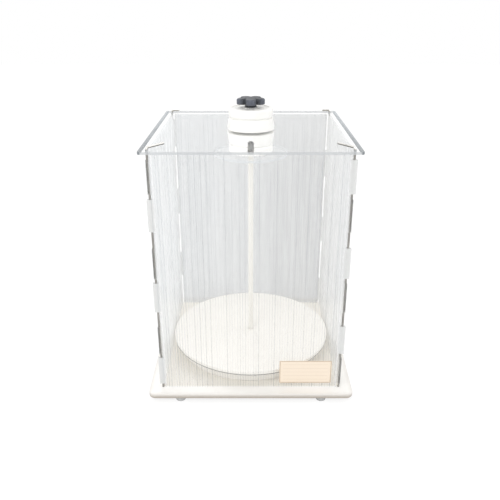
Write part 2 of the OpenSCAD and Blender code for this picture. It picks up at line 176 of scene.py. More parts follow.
class CarrierColours(bpy.types.PropertyGroup):
    """Colours of the finishes."""

    base: tint("Base board", "High-density polyethylene board", "#f7f5f1")
    foot: tint("Feet", "Grey elastomer feet", "#c2c3c3")
    board: tint("Cake board", "White film on the cake board", "#efece5")
    # Painted shadow: the dark band along the cake board's lower edge, under its rim
    core: tint("Board core", "Bare fibres at the cake board's lower edge", "#6a6661")
    spool: tint("Spools", "White polypropylene", "#faf9f5")
    knob: tint("Knob", "Nylon of the star knob", "#2f3238")
    # The rods' dark sides are painted reflection, and their bright tops a painted highlight
    rod: tint("Corner rods", "Drawn steel of the corner rods", "#6c6963")
    rod_highlight: tint("Rod tops", "Bright upper side of the rods' arms", "#e6e4e0")
    post: tint("Centre rod", "Natural acetal of the centre rod", "#eceae3")
    rib: tint("Ribs", "Shade of the fluted sheet's darker ribs", "#b9bec2")
    edge: tint("Cut edges", "Cut edges of the clear plates", "#bdc0c2")
    rim: tint("Lid sides", "Dark reflection along the lid's left and right edges", "#83888c")
    label: tint("Label", "Label film", "#f4e5d2")
    border: tint("Label border", "Printed line round the label", "#b39c82")


class CarrierStage(bpy.types.PropertyGroup):
    """Camera, lamps and floor."""

    distance: FloatProperty(
        name="Camera distance",
        description="Distance of the camera in front of the centre rod",
        unit="LENGTH",
        default=1.3427,
    )
    height: FloatProperty(
        name="Camera height",
        description="Height of the camera over the floor",
        unit="LENGTH",
        default=0.8701,
    )
    tilt: FloatProperty(
        name="Camera tilt",
        description="Angle by which the camera looks down",
        subtype="ANGLE",
        default=np.radians(23.52),
    )
    lens: FloatProperty(
        name="Lens",
        description="Focal length on a 36 mm sensor",
        subtype="DISTANCE_CAMERA",
        default=42,
    )
    shift: FloatProperty(
        name="Sideways shift",
        description="Shift that sets the object where it stands in the frame",
        default=-0.0016,
    )
    room: FloatProperty(
        name="Room light", description="Strength of the white room", default=0.95
    )
    key: FloatProperty(
        name="Key lamp", description="Power of the large lamp over the front", default=12
    )


# --- Meshes ---


def surface(name, grid, closed=False, smooth=35):
    """Piece made of a grid of points, rows by columns, whose columns join up round it.

    Each square between neighbouring points is a face. The last row of a closed grid joins its
    first one, as on a ring. An open grid gets a fan of faces from the middle of each end row.
    The UV map holds the share of the turn, and the distance along the rows in metres.
    """
    rows, cols = grid.shape[:2]
    steps = np.linalg.norm(grid - np.roll(grid, 1, 0), axis=2).mean(1)
    along = np.append(np.cumsum(steps) - steps[0], steps.sum())
    i, j = np.indices((rows if closed else rows - 1, cols)).reshape(2, -1)
    right, down = (j + 1) % cols, (i + 1) % rows
    quads = np.stack(
        [i * cols + j, i * cols + right, down * cols + right, down * cols + j], 1
    )
    turn = np.stack([j, j + 1, j + 1, j], 1) / cols
    far = along[np.stack([i, i, i + 1, i + 1], 1)]
    faces, points = quads.tolist(), grid.reshape(-1, 3)
    uv = np.stack([turn, far], 2).reshape(-1, 2)
    if not closed:
        ring = np.arange(cols)
        following = (ring + 1) % cols
        middles = np.full(cols, rows * cols)
        start = np.stack([middles, following, ring], 1)
        end = np.stack([middles + 1, ring, following], 1)
        end[:, 1:] += (rows - 1) * cols
        faces += start.tolist() + end.tolist()
        points = np.concatenate([points, grid[[0, -1]].mean(1)])
        fans = np.stack([np.repeat(ring / cols, 3), np.zeros(3 * cols)], 1)
        uv = np.concatenate([uv, fans, fans + [0, along[-2]]])
    mesh = bpy.data.meshes.new(name)
    mesh.from_pydata(points, [], faces)
    mesh.uv_layers.new(name="UVMap").data.foreach_set("uv", uv.ravel())
    work = bmesh.new()
    work.from_mesh(mesh)
    bmesh.ops.remove_doubles(work, verts=work.verts, dist=1e-6)
    bmesh.ops.recalc_face_normals(work, faces=work.faces)
    work.to_mesh(mesh)
    work.free()
    mesh.shade_smooth()
    mesh.set_sharp_from_angle(angle=np.radians(smooth))
    piece = bpy.data.objects.new(name, mesh)
    bpy.context.scene.collection.objects.link(piece)
    return piece


def lathe(profile, centre=(0, 0), cols=96):
    """Grid turned about an upright axis: each (radius, height) of the profile becomes a circle."""
    turn = np.linspace(0, 2 * np.pi, cols, endpoint=False)
    r, z = profile[:, :1], profile[:, 1:]
    x, y = centre[0] + r * np.cos(turn), centre[1] + r * np.sin(turn)
    return np.stack([x, y, z + 0 * x], 2)


def softened(corners, radii, steps=7):
    """Profile with each corner rounded by a quadratic Bezier curve.

    The curve starts one radius before the corner and ends one radius after it, and bends towards
    the corner: (1 - t)^2 of its start, 2 t (1 - t) of the corner and t^2 of its end.
    """
    corners = np.array(corners, float)
    reach = np.array(radii, float)[:, None]
    back = np.roll(corners, 1, 0) - corners
    ahead = np.roll(corners, -1, 0) - corners
    start = corners + back / np.linalg.norm(back, axis=1, keepdims=True) * reach
    end = corners + ahead / np.linalg.norm(ahead, axis=1, keepdims=True) * reach
    t = np.linspace(0, 1, steps)[None, :, None]
    curve = (1 - t) ** 2 * start[:, None]
    curve += 2 * t * (1 - t) * corners[:, None] + t**2 * end[:, None]
    return curve.reshape(-1, 2)


def swept(path, radii, side, cols=28):
    """Grid of a round bar along a path that lies in one upright plane.

    Each ring is the path's point, plus the radius times the cosine of the turn along the path's
    own normal, plus the radius times the sine of the turn along the plane's level normal, side.
    """
    along = np.gradient(path, axis=0)
    along /= np.linalg.norm(along, axis=1, keepdims=True)
    normal = np.cross(side, along)[:, None]
    turn = np.linspace(0, 2 * np.pi, cols, endpoint=False)[None, :, None]
    reach = radii[:, None, None]
    return path[:, None] + reach * (np.cos(turn) * normal + np.sin(turn) * side)


# --- Materials ---


def add(tree, kind, inputs=None, out=0, **settings):
    """Adds a node, sets its settings, links or sets its inputs, and gives one of its outputs."""
    node = tree.nodes.new("ShaderNode" + kind)
    for name, value in settings.items():
        setattr(node, name, value)
    for key, value in (inputs or {}).items():
        if isinstance(value, bpy.types.NodeSocket):
            tree.links.new(value, node.inputs[key])
        else:
            node.inputs[key].default_value = value
    return node.outputs[out] if node.outputs else None


def start(name):
    """New node material, its tree and its Object coordinates."""
    material = bpy.data.materials.new(name)
    material.use_nodes = True
    material.node_tree.nodes.clear()
    tree = material.node_tree
    return material, tree, add(tree, "TexCoord", out="Object")


def grain(tree, place, millimetres, squeeze=(1, 1, 1), detail=2.0):
    """Noise whose lumps are about that many millimetres wide, squeezed along some axes."""
    scaled = add(tree, "Mapping", {"Vector": place, "Scale": squeeze})
    return add(
        tree,
        "TexNoise",
        {"Vector": scaled, "Scale": 1 / (millimetres * MM), "Detail": detail},
    )


def blend(tree, share, first, second):
    """Colour that goes from the first to the second as the share goes from 0 to 1."""
    return add(tree, "Mix", {0: share, 6: first, 7: second}, out=2, data_type="RGBA")


def span(tree, value, start_at, end_at, to_start=0.0, to_end=1.0, soft="SMOOTHSTEP"):
    """Value mapped from one range to another, clamped at both ends."""
    places = {0: value, 1: start_at, 2: end_at, 3: to_start, 4: to_end}
    return add(tree, "MapRange", places, interpolation_type=soft)


def maths(tree, operation, first, second=0.0, third=0.0):
    """One step of arithmetic on numbers."""
    return add(tree, "Math", {0: first, 1: second, 2: third}, operation=operation)


def shade(colour, factor):
    """The same colour, lighter or darker by a factor."""
    return (*(min(1.0, c * factor) for c in tuple(colour)[:3]), 1.0)


def mottled(tree, pattern, low, high, colour, factor):
    """Colour that turns lighter or darker by a factor as a pattern goes from low to high."""
    return blend(tree, span(tree, pattern, low, high), colour, shade(colour, factor))


def bump(tree, height, depth_mm):
    """Bump normal for a height pattern whose full range is that deep."""
    return add(tree, "Bump", {"Height": height, "Distance": depth_mm * MM, "Strength": 1.0})


def finish_material(material, tree, shader):
    """Joins the shader to the material's output."""
    add(tree, "OutputMaterial", {"Surface": shader})
    return material


def side_faces(tree):
    """1 on upright faces and 0 on level ones, from the piece's own normals."""
    normal = add(tree, "TexCoord", out="Normal")
    up = add(tree, "SeparateXYZ", {0: normal}, out="Z")
    return span(tree, maths(tree, "ABSOLUTE", up), 0.75, 0.45)


def hdpe_routed(colour):
    """High-density polyethylene board, planed and routed.

    Waxy near-white faces with a faint orange peel, and fine level cutter marks round its edge.
    Painted warm shade darkens the top inside the walls, the top near its edge, and the edge
    towards the floor.
    """
    material, tree, place = start("hdpe_routed")
    peel = grain(tree, place, 2.2)
    cloud = grain(tree, place, 60)
    # Cutter marks are 0.3 mm apart on the real edge, and drawn 1 mm apart so that they show
    marks = grain(tree, place, 30, (1, 1, 30))
    sides = side_faces(tree)
    height = add(tree, "Mix", {0: sides, 2: peel, 3: marks}, out=0, data_type="FLOAT")
    paint = mottled(tree, cloud, 0.35, 0.7, colour, 0.975)
    x, y, z = (add(tree, "SeparateXYZ", {0: place}, out=axis) for axis in "XYZ")
    reach = maths(tree, "MAXIMUM", *(maths(tree, "ABSOLUTE", way) for way in (x, y)))
    # Painted shade: inside the walls the top is a little darker and warm
    painted_inner_shade = span(tree, reach, ROD_XY + 1 * MM, ROD_XY - 3 * MM, 0, 0.85)
    paint = blend(tree, painted_inner_shade, paint, linear("#e3ded3"))
    # The painted shade starts 11 mm in from the edge, and is full 9 mm below the top
    half = highest("base_board")[0]
    rim = span(tree, reach, half - 11 * MM, half, 0, 0.25, "LINEAR")
    cast = span(tree, z, BASE_TOP, BASE_TOP - 9 * MM, 0, 0.75, "LINEAR")
    paint = blend(tree, maths(tree, "ADD", rim, cast), paint, linear("#b0a79c"))
    shader = add(
        tree,
        "BsdfPrincipled",
        {
            "Base Color": paint,
            "Roughness": span(tree, peel, 0.3, 0.7, 0.38, 0.48),
            "IOR": 1.54,
            "Normal": bump(tree, height, 0.05),
        },
    )
    return finish_material(material, tree, shader)


def elastomer_moulded(colour):
    """Thermoplastic elastomer, moulded: matt grey, with a fine spark-eroded skin."""
    material, tree, place = start("elastomer_moulded")
    # The skin's grain is 0.15 mm on the real foot, and drawn at 0.6 mm so that it shows
    skin = grain(tree, place, 0.6)
    dust = grain(tree, place, 9)
    shader = add(
        tree,
        "BsdfPrincipled",
        {
            "Base Color": mottled(tree, dust, 0.4, 0.75, colour, 0.86),
            "Roughness": span(tree, skin, 0.3, 0.7, 0.62, 0.75),
            "IOR": 1.49,
            "Normal": bump(tree, skin, 0.04),
        },
    )
    return finish_material(material, tree, shader)


def steel_zinc_plated():
    """Zinc-plated steel: cool grey metal with cloudy patches of passivation."""
    material, tree, place = start("steel_zinc_plated")
    cloud = grain(tree, place, 2.5, detail=4.0)
    fine = grain(tree, place, 0.4)
    cloudy = span(tree, cloud, 0.4, 0.65)
    shader = add(
        tree,
        "BsdfPrincipled",
        {
            "Base Color": blend(tree, cloudy, linear("#c6c9cc"), linear("#aeb3b8")),
            "Metallic": 1.0,
            "Roughness": span(tree, cloud, 0.3, 0.7, 0.28, 0.42),
            "Normal": bump(tree, fine, 0.01),
        },
    )
    return finish_material(material, tree, shader)


def metal_turned(name, colour, ring_mm):
    """Metal turned on a lathe: fine rings of the cutter round the Z axis."""
    material, tree, place = start(name)
    rings = add(
        tree,
        "TexWave",
        {
            "Vector": place,
            "Scale": WAVE_UNIT / (ring_mm * MM),
            "Distortion": 0.6,
            "Detail Scale": 2.0,
        },
        out="Fac",
        wave_type="RINGS",
        rings_direction="Z",
    )
    stain = grain(tree, place, 4)
    shader = add(
        tree,
        "BsdfPrincipled",
        {
            "Base Color": mottled(tree, stain, 0.4, 0.7, colour, 0.85),
            "Metallic": 1.0,
            "Roughness": span(tree, rings, 0, 1, 0.24, 0.36),
            "Normal": bump(tree, rings, 0.01),
        },
    )
    return finish_material(material, tree, shader)


def acetal_turned(colour):
    """Acetal rod, ground and thread-cut: warm white, smooth, with faint level tool rings."""
    material, tree, place = start("acetal_turned")
    # Tool rings are 0.1 mm apart on the real rod, and drawn 0.8 mm apart so that they show
    rings = grain(tree, place, 12, (1, 1, 15))
    shader = add(
        tree,
        "BsdfPrincipled",
        {
            "Base Color": mottled(tree, rings, 0.35, 0.7, colour, 0.95),
            "Roughness": span(tree, rings, 0.3, 0.7, 0.26, 0.36),
            "IOR": 1.48,
            "Normal": bump(tree, rings, 0.015),
        },
    )
    return finish_material(material, tree, shader)


def fibreboard_film_faced(colour, core, rim_z):
    """Fibreboard faced with white film: satin faces, and a painted dark shadow band low on its
    edge.
    """
    material, tree, place = start("fibreboard_film_faced")
    z = add(tree, "SeparateXYZ", {0: place}, out="Z")
    peel = grain(tree, place, 3)
    ragged = grain(tree, place, 5)
    # Painted shadow: a dark band from the board's lower face up to 2.5 mm over it, on a ragged
    # line
    line = maths(tree, "MULTIPLY_ADD", ragged, 0.9 * MM, rim_z + 2.0 * MM)
    shadow_band = maths(tree, "LESS_THAN", z, line)
    shadow_band = maths(tree, "MULTIPLY", shadow_band, maths(tree, "GREATER_THAN", z, rim_z))
    streaky_grain = grain(tree, place, 1.2, (1, 1, 4), 4.0)
    shadow_tone = blend(tree, streaky_grain, core, shade(core, 0.7))
    shader = add(
        tree,
        "BsdfPrincipled",
        {
            "Base Color": blend(tree, shadow_band, colour, shadow_tone),
            "Roughness": span(tree, shadow_band, 0, 1, 0.34, 0.85),
            "IOR": 1.5,
            "Normal": bump(tree, peel, 0.03),
        },
    )
    return finish_material(material, tree, shader)


def polypropylene_moulded(colour):
    """Polypropylene, injection moulded: milky white, half gloss, with slow flow waves."""
    material, tree, place = start("polypropylene_moulded")
    flow = grain(tree, place, 22, (1, 1, 0.5), 1.0)
    skin = grain(tree, place, 0.9)
    height = maths(tree, "MULTIPLY_ADD", flow, 4.0, skin)
    shader = add(
        tree,
        "BsdfPrincipled",
        {
            "Base Color": mottled(tree, flow, 0.35, 0.7, colour, 0.965),
            "Roughness": span(tree, skin, 0.3, 0.7, 0.3, 0.4),
            "IOR": 1.49,
            "Subsurface Weight": 0.3,
            "Subsurface Radius": (1, 1, 0.95),
            "Subsurface Scale": 3 * MM,
            "Normal": bump(tree, height, 0.03),
        },
    )
    return finish_material(material, tree, shader)


def nylon_moulded(colour):
    """Glass-filled nylon, injection moulded: near black, fine grained, paler and smoother at its
    rim.
    """
    material, tree, place = start("nylon_moulded")
    # The mould's grain is 0.2 mm on the real knob, and drawn at 0.7 mm so that it shows
    skin = grain(tree, place, 0.7, detail=3.0)
    streaky_grain = grain(tree, place, 3, (1, 3, 1), 4.0)
    level = add(tree, "VectorMath", {0: place, 1: (1, 1, 0)}, operation="MULTIPLY")
    reach = add(tree, "VectorMath", {0: level}, out="Value", operation="LENGTH")
    # The lobes' ends are smoother and paler than the middle
    lobe_ends = span(tree, reach, KNOB_R * 0.72, KNOB_R, 0, 1)
    paint = mottled(tree, streaky_grain, 0.4, 0.7, colour, 1.5)
    paint = blend(tree, maths(tree, "MULTIPLY", lobe_ends, 0.7), paint, linear("#5d626e"))
    shader = add(
        tree,
        "BsdfPrincipled",
        {
            "Base Color": paint,
            "Roughness": span(tree, lobe_ends, 0, 1, 0.5, 0.34),
            "IOR": 1.53,
            "Normal": bump(tree, skin, 0.04),
        },
    )
    return finish_material(material, tree, shader)


def steel_drawn(colour, highlight):
    """Stainless steel rod, cold drawn: fine lines along it, and painted light in its colour.

    A painted highlight makes its top bright, and painted reflection makes its sides dark warm
    grey. The two back rods' sides are painted a lighter grey than the front ones'.
    """
    material, tree, place = start("steel_drawn")
    around = add(tree, "UVMap", uv_map="UVMap")
    # Draw lines run along the rod: 90 round its girth, each about 60 mm long
    drawn = add(tree, "Mapping", {"Vector": around, "Scale": (90, 16, 1)})
    lines = add(tree, "TexNoise", {"Vector": drawn, "Scale": 1.0, "Detail": 3.0})
    # Stains go half round the rod, and are about 30 mm long
    cloudy = add(tree, "Mapping", {"Vector": around, "Scale": (2, 30, 1)})
    stain = add(tree, "TexNoise", {"Vector": cloudy, "Scale": 1.0})
    normal = add(tree, "TexCoord", out="Normal")
    up = add(tree, "SeparateXYZ", {0: normal}, out="Z")
    y = add(tree, "SeparateXYZ", {0: place}, out="Y")
    # Painted reflection: the back rods' sides are a lighter grey than the front ones'
    lower = blend(tree, span(tree, y, -0.1, 0.1), colour, shade(colour, 2.6))
    # Painted highlight: faces that look up turn bright, from the piece's own normals
    paint = blend(tree, span(tree, up, -0.1, 0.15), lower, highlight)
    stained = maths(tree, "MULTIPLY", span(tree, stain, 0.4, 0.7), 0.3)
    shader = add(
        tree,
        "BsdfPrincipled",
        {
            "Base Color": blend(tree, stained, paint, shade(colour, 0.6)),
            "Metallic": 1.0,
            "Roughness": span(tree, lines, 0.3, 0.7, 0.26, 0.4),
            "Normal": bump(tree, lines, 0.02),
        },
    )
    return finish_material(material, tree, shader)


def film_printed(colour, border):
    """Vinyl film, printed: satin cream, a thin printed frame, and blank ruled lines in it."""
    material, tree, place = start("film_printed")
    x, z = (add(tree, "SeparateXYZ", {0: place}, out=axis) for axis in "XZ")
    middle, half = (LABEL_LOW + LABEL_HIGH) / 2, (LABEL_HIGH - LABEL_LOW) / 2
    from_x = maths(tree, "ABSOLUTE", maths(tree, "SUBTRACT", x, middle[0]))
    from_z = maths(tree, "ABSOLUTE", maths(tree, "SUBTRACT", z, middle[2]))
    # The frame runs 0.8 mm in from the label's edge, and is 1.4 mm wide
    in_x = maths(tree, "SUBTRACT", half[0] - 0.8 * MM, from_x)
    in_z = maths(tree, "SUBTRACT", half[2] - 0.8 * MM, from_z)
    inside = maths(tree, "MINIMUM", in_x, in_z)
    frame_line = maths(tree, "COMPARE", inside, 0.7 * MM, 0.7 * MM)
    # Ruled lines 10 mm apart, 0.6 mm wide, start 8 mm inside the frame
    step = maths(tree, "PINGPONG", maths(tree, "SUBTRACT", z, middle[2]), 5 * MM)
    ruled = maths(tree, "LESS_THAN", step, 0.3 * MM)
    ruled = maths(tree, "MULTIPLY", ruled, maths(tree, "GREATER_THAN", inside, 8 * MM))
    ink = maths(tree, "MAXIMUM", frame_line, maths(tree, "MULTIPLY", ruled, 0.4))
    paper = grain(tree, place, 1.5)
    tone = mottled(tree, paper, 0.3, 0.8, colour, 0.96)
    shader = add(
        tree,
        "BsdfPrincipled",
        {
            "Base Color": blend(tree, ink, tone, border),
            "Roughness": span(tree, paper, 0.3, 0.7, 0.42, 0.52),
            "IOR": 1.5,
            "Normal": bump(tree, paper, 0.01),
        },
    )
    return finish_material(material, tree, shader)


def sheen_share(tree, straight, grazing):
    """How much of a clear surface shows: little straight on, more the flatter it is seen.

    The share is the first number plus the second times the fifth power of one minus the cosine
    of the angle of view, as Schlick gives it, and it is the same from both sides of the face.
    """
    facing = add(tree, "LayerWeight", {"Blend": 0.5}, out="Facing")
    power = maths(tree, "POWER", facing, 5.0)
    return maths(tree, "MULTIPLY_ADD", power, grazing, straight)


def clear_mix(tree, share, body):
    """Clear surface: light passes, but for the share that the body takes.

    What a hazy sheet scatters still goes on inwards, so light on its way to other pieces meets
    only a part of that share.
    """
    shadow = add(tree, "LightPath", out="Is Shadow Ray")
    diffuse = add(tree, "LightPath", out="Is Diffuse Ray")
    onward = maths(tree, "MAXIMUM", shadow, diffuse)
    share = maths(tree, "MULTIPLY", share, span(tree, onward, 0, 1, 1, VEIL_FOR_LIGHT))
    passing = add(tree, "BsdfTransparent", {"Color": linear("#ffffff")})
    return add(tree, "MixShader", {0: share, 1: passing, 2: body})


def acrylic_cast(name, edge, rim=None, rim_x=0.0):
    """Acrylic plate, cast: water clear faces, and saw-cut edges that gather a grey-blue light.

    Where it has a rim colour, a 5.5 mm band along the left and right edges shows the dark
    reflection of those edges through the face, darkest at the front.
    """
    material, tree, place = start(name)
    sides = side_faces(tree)
    ripple = grain(tree, place, 45, detail=1.0)
    cut = grain(tree, place, 8, (1, 1, 12))
    height = add(tree, "Mix", {0: sides, 2: ripple, 3: cut}, out=0, data_type="FLOAT")
    paint = blend(tree, sides, linear("#f8fafb"), edge)
    band = 0.0
    if rim:
        x, y = (add(tree, "SeparateXYZ", {0: place}, out=axis) for axis in "XY")
        band = span(tree, maths(tree, "ABSOLUTE", x), rim_x - 6 * MM, rim_x - 5 * MM)
        tone = blend(tree, span(tree, y, -rim_x, rim_x), rim, shade(rim, 1.7))
        paint = blend(tree, band, paint, tone)
    body = add(
        tree,
        "BsdfPrincipled",
        {
            "Base Color": paint,
            "Roughness": span(tree, sides, 0, 1, 0.08, 0.4),
            "IOR": 1.49,
            "Normal": bump(tree, height, 0.05),
        },
    )
    share = sheen_share(tree, 0.01, 0.4)
    share = maths(tree, "MULTIPLY_ADD", sides, 0.7, share)
    share = maths(tree, "MAXIMUM", share, maths(tree, "MULTIPLY", band, 0.92))
    share = maths(tree, "MINIMUM", share, 0.92)
    return finish_material(material, tree, clear_mix(tree, share, body))


def polycarbonate_twin_wall(name, axis, haze, tones, rib, step):
    """Polycarbonate twin-wall sheet, extruded: a hazy clear skin, and a rib at each flute's wall.

    The melt bends the light where a rib joins the skins, so each rib shows as a thin line, some
    paler and some darker than the sheet. The lines lie on the ribs of the solid. The haze is
    the share of each skin's face that shows. Its tone is painted shade and painted reflection of
    the room round the sheet, and runs from one upright edge of the sheet to the other.
    """
    material, tree, place = start(name)
    across = add(tree, "SeparateXYZ", {0: place}, out=axis)
    # Flute middles are a whole number of steps from the rods' axes
    count = maths(tree, "MULTIPLY_ADD", across, 1 / step, ROD_XY / step)
    off = maths(tree, "ABSOLUTE", maths(tree, "SUBTRACT", maths(tree, "FRACT", count), 0.5))
    number = maths(tree, "FLOOR", count)
    chance = add(tree, "TexWhiteNoise", {"W": number}, noise_dimensions="1D")
    second = maths(tree, "GREATER_THAN", maths(tree, "MODULO", number, 2.0), 0.5)
    # A rib's line is 2.2 mm wide with its soft edges; the rib itself is 0.4 mm thick
    line = span(tree, off, 1.1 * MM / step, 0.3 * MM / step)
    weight = maths(tree, "MULTIPLY_ADD", chance, 0.1, 0.01)
    weight = maths(tree, "MULTIPLY_ADD", second, 0.03, weight)
    # The side sheets' ribs show less than the front and back ones'
    weight = maths(tree, "MULTIPLY", weight, 1.0 if axis == "X" else 0.3)
    streaks = grain(tree, place, 160, (12, 12, 1), 1.0)
    haze = span(tree, streaks, 0.35, 0.7, haze * 0.92, haze * 1.08)
    share = maths(tree, "MULTIPLY_ADD", line, weight, haze)
    share = maths(tree, "ADD", share, sheen_share(tree, 0.0, 0.9))
    # The ribs' own faces stand along the line of sight and stay nearly clear
    normal = add(tree, "TexCoord", out="Normal")
    along = add(tree, "SeparateXYZ", {0: normal}, out=axis)
    rib_face = maths(tree, "GREATER_THAN", maths(tree, "ABSOLUTE", along), 0.7)
    clear = maths(tree, "SUBTRACT", 1.0, maths(tree, "MULTIPLY", rib_face, 0.8))
    share = maths(tree, "MULTIPLY", share, clear)
    # The flutes past the last whole one, round the rods, look milky
    reach = maths(tree, "ABSOLUTE", across)
    milky = span(tree, reach, ROD_XY - 9 * MM, ROD_XY - 4 * MM, 0, 0.75)
    milky = maths(tree, "MULTIPLY", milky, maths(tree, "SUBTRACT", 1.0, rib_face))
    share = maths(tree, "MAXIMUM", share, milky)
    darker = maths(tree, "MULTIPLY", span(tree, chance, 0.35, 0.8), line)
    # Painted shade and reflection: each sheet's tone runs from one upright edge to the other
    plain = blend(tree, span(tree, across, -ROD_XY, ROD_XY), *map(linear, tones))
    plain = blend(tree, span(tree, milky, 0.2, 0.6), plain, linear(MILKY_TONE))
    body = add(
        tree,
        "BsdfPrincipled",
        {
            "Base Color": blend(tree, darker, plain, rib),
            "Roughness": span(tree, streaks, 0.3, 0.7, 0.18, 0.3),
            "IOR": 1.585,
            "Normal": bump(tree, streaks, 0.01),
        },
    )
    return finish_material(material, tree, clear_mix(tree, share, body))


def floor_white():
    """Matt white floor: to the camera and in reflections it is white where no shadow falls."""
    material, tree, place = start("floor_white")
    tone = grain(tree, place, 400)
    paint = blend(tree, tone, linear("#f4f4f4"), linear("#f6f6f6"))
    lit = add(tree, "BsdfDiffuse", {"Color": paint})
    glow = add(tree, "Emission", {"Color": linear("#ffffff"), "Strength": 1.1})
    mixed = add(tree, "MixShader", {0: camera_rays(tree, 0.75), 1: lit, 2: glow})
    return finish_material(material, tree, mixed)


def camera_rays(tree, share):
    """That share for rays from the camera, a reflection or clear plastic, and 0 for others."""
    seen = add(tree, "LightPath", out="Is Camera Ray")
    glossy = add(tree, "LightPath", out="Is Glossy Ray")
    through = add(tree, "LightPath", out="Is Transmission Ray")
    either = maths(tree, "MAXIMUM", maths(tree, "MAXIMUM", seen, glossy), through)
    return maths(tree, "MULTIPLY", either, share)


def coat(piece, material):
    """Gives a piece its material in place of what it had."""
    piece.data.materials.clear()
    piece.data.materials.append(material)


def keep_node(node, material):
    """Leaves a CAD node's shape as it is, and gives it its material."""
    coat(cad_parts[node], material)


def stand_for(piece, node, body, material):
    """Puts a finished piece in a CAD node's place."""
    coat(piece, material)
    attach(piece, body)
    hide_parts(node)


# --- Pieces ---


class CARRIER_OT_base(bpy.types.Operator):
    """Base board with its feet, foot screws and bush"""

    bl_idname = "carrier.base"
    bl_label = "Base"

    def execute(self, context):
        """Turns each foot from a closed half section: a cone round a countersunk hole."""
        colours, sizes = context.scene.carrier_colours, context.scene.carrier_sizes
        head_z = lowest("foot_screws")[2]
        keep_node("base_board", hdpe_routed(colours.base))
        keep_node("foot_screws", steel_zinc_plated())
        keep_node("centre_bush", metal_turned("aluminium_turned", linear("#c9cbcd"), 0.5))
        rubber = elastomer_moulded(colours.foot)
        for corner in CORNERS:
            node = "foot_" + corner
            low, high = lowest(node), highest(node)
            top_r = (high[0] - low[0]) / 2
            centre = (low[:2] + high[:2]) / 2
            shank_r, low_r = hole_r(node, centre), top_r - sizes.foot_in
            profile = softened(
                [
                    (sizes.head_r, low[2]),
                    (low_r, low[2]),
                    (top_r, high[2] - 1.2 * MM),
                    (top_r, high[2]),
                    (shank_r, high[2]),
                    (shank_r, head_z + sizes.head_h),
                    (sizes.head_r, head_z),
                ],
                np.array([0.5, 1.4, 0.5, 0.3, 0.2, 0.2, 0.2]) * MM,
            )
            foot = surface(node + "_moulded", lathe(profile, centre, 64), closed=True)
            stand_for(foot, node, "base", rubber)
        return {"FINISHED"}


class CARRIER_OT_centre_rod(bpy.types.Operator):
    """Centre rod with a cut thread at its top"""

    bl_idname = "carrier.centre_rod"
    bl_label = "Centre rod"

    def execute(self, context):
        """Turns the rod, and cuts a helical thread.

        The thread's radius is its outer radius less its depth times a rounded triangle wave of
        the height less one pitch for each turn. The wave fades out at the thread's two ends.
        """
        sizes = context.scene.carrier_sizes
        pitch, depth = sizes.thread_pitch, sizes.thread_depth
        foot_z, tip_z = lowest("centre_rod")[2], highest("centre_rod")[2]
        rod_r, thread_r = highest("centre_rod")[0], sizes.thread_r
        shoulder = tip_z - sizes.thread_l
        plain = softened(
            [
                (0.01 * MM, foot_z),
                (thread_r, foot_z),
                (thread_r, BASE_TOP),
                (rod_r, BASE_TOP),
                (rod_r, shoulder),
                (thread_r - depth, shoulder),
            ],
            np.array([0, 0.5, 0, 0.1, 0.5, 0]) * MM,
            5,
        )
        cut = np.linspace(shoulder + 0.02 * MM, tip_z, 12 * round(sizes.thread_l / pitch))
        profile = np.concatenate([plain, np.stack([0 * cut + thread_r, cut], 1)])
        grid = lathe(profile, cols=48)
        rows = np.arange(len(plain), len(profile))
        turn = np.arctan2(grid[rows, :, 1], grid[rows, :, 0]) / (2 * np.pi)
        height = grid[rows, :, 2]
        wave = np.abs((height / pitch - turn) % 1 - 0.5) * 2
        groove = depth * wave**1.3
        # The first thread runs out into a relief, and a chamfer leads the last one in
        fade = np.clip((height - shoulder) / (1.5 * pitch), 0, 1)
        radius = thread_r - depth * (1 - fade) - groove * fade
        radius = np.minimum(radius, thread_r + 0.2 * MM - (height - tip_z + 1.2 * MM))
        grid[rows, :, :2] *= (radius / thread_r)[..., None]
        rod = surface("centre_rod_threaded", grid, smooth=50)
        acetal = acetal_turned(context.scene.carrier_colours.post)
        stand_for(rod, "centre_rod", "base", acetal)
        return {"FINISHED"}


class CARRIER_OT_plates(bpy.types.Operator):
    """Cake board on its riser, and clear disk, both on the centre rod"""

    bl_idname = "carrier.plates"
    bl_label = "Cake board and disk"

    def execute(self, context):
        """Turns both rings from closed half sections with rounded edges."""
        colours, sizes = context.scene.carrier_colours, context.scene.carrier_sizes
        rounding = sizes.plate_round
        low, high = lowest("cake_board"), highest("cake_board")
        bore, rim_z = hole_r("cake_board"), high[2] - sizes.board_t
        riser_r = high[0] - sizes.riser_in
        outline = softened(
            [
                (bore, low[2]),
                (riser_r, low[2]),
                (riser_r, rim_z),
                (high[0], rim_z),
                (high[0], high[2]),
                (bore, high[2]),
            ],
            np.array([0.5, 1, 0.5, 1, 1, 0.5]) * rounding,
        )
        board = surface("cake_board_faced", lathe(outline, cols=192), closed=True)
        facing = fibreboard_film_faced(colours.board, colours.core, rim_z)
        stand_for(board, "cake_board", "board", facing)
        low, high = lowest("compression_disk"), highest("compression_disk")
        bore, edge = hole_r("compression_disk"), high[0]
        outline = softened(
            [(bore, low[2]), (edge, low[2]), (edge, high[2]), (bore, high[2])],
            np.array([0.5, 1, 1, 0.5]) * rounding,
        )
        disk = surface("compression_disk_clear", lathe(outline, cols=160), closed=True)
        clear = acrylic_cast("acrylic_cast_disk", shade(colours.edge, 1.3))
        stand_for(disk, "compression_disk", "press", clear)
        return {"FINISHED"}


class CARRIER_OT_walls(bpy.types.Operator):
    """Fluted walls and the label"""

    bl_idname = "carrier.walls"
    bl_label = "Walls and label"

    def execute(self, context):
        """Keeps the panels' own flutes, and lays the rib lines across X or Y."""
        colours = context.scene.carrier_colours
        step = context.scene.carrier_sizes.flute
        for side, look in PANEL_LOOKS.items():
            name = "polycarbonate_twin_wall_" + side
            sheet = polycarbonate_twin_wall(name, *look, colours.rib, step)
            keep_node("panel_" + side, sheet)
        keep_node("label", film_printed(colours.label, colours.border))
        return {"FINISHED"}


